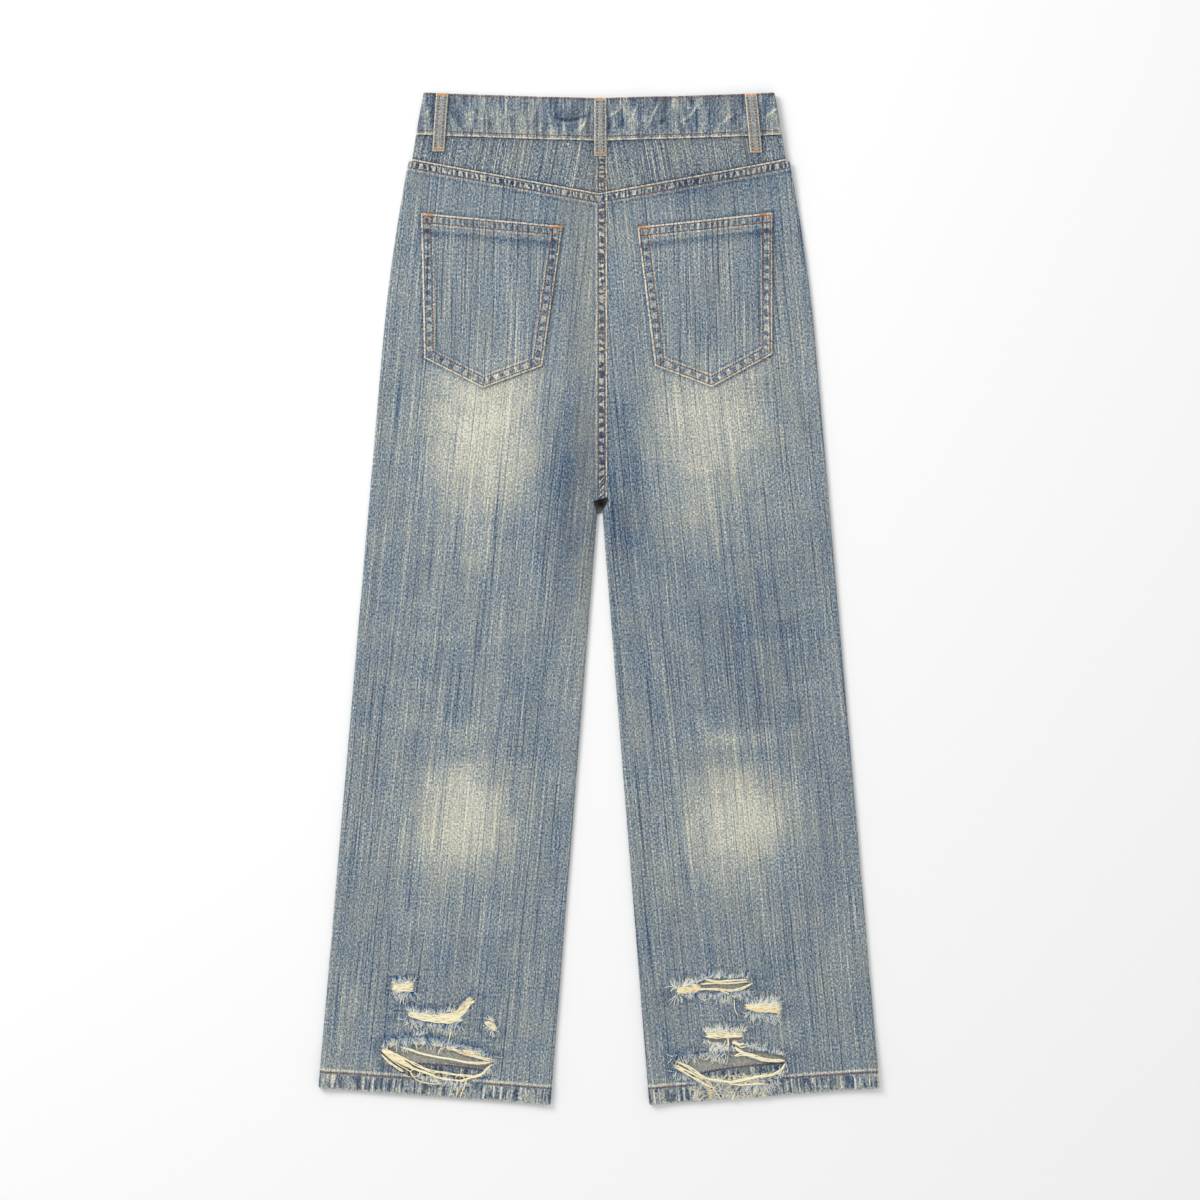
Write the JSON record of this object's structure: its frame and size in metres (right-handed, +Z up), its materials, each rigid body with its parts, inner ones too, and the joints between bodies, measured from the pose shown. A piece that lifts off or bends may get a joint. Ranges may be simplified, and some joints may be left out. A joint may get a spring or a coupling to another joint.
{
  "type": "ripped jeans",
  "caption": "Wide-leg blue denim jeans, faded and ripped at the hems, laid flat face down with patch pockets and belt loops showing.",
  "frame": {"origin": "middle of the garment's outline, on the surface it lies on", "axes": "+Y from the hems to the waist, +X to the wearer's right, +Z up from the surface to the back of the garment"},
  "size_m": [0.5728, 1.032, 0.0125],
  "materials": {
    "denim": "washed slub denim, faded at the seat and knees, with a dusty tint",
    "denim_yoke": "washed denim with puckered double seams",
    "denim_band": "washed denim, folded double and creased",
    "denim_pocket": "washed denim with abraded edges",
    "denim_loop": "washed denim strip with pale worn edges",
    "denim_facing": "washed denim",
    "brass": "aged, plain"
  },
  "bodies": {
    "root": {"back_leg_left": "denim", "back_leg_right": "denim", "front_leg_left": "denim", "front_leg_right": "denim", "back_yoke_left": "denim_yoke", "back_yoke_right": "denim_yoke", "pocket_facing_left": "denim_facing", "pocket_facing_right": "denim_facing", "back_pocket_left": "denim_pocket", "back_pocket_right": "denim_pocket", "waistband_back": "denim_band", "waistband_front_left": "denim_band", "waistband_front_right": "denim_band", "belt_loop_back_left": "denim_loop", "belt_loop_back_centre": "denim_loop", "belt_loop_back_right": "denim_loop", "belt_loop_front_left": "denim_loop", "belt_loop_front_right": "denim_loop", "waist_button": "brass"}
  },
  "joints": []
}
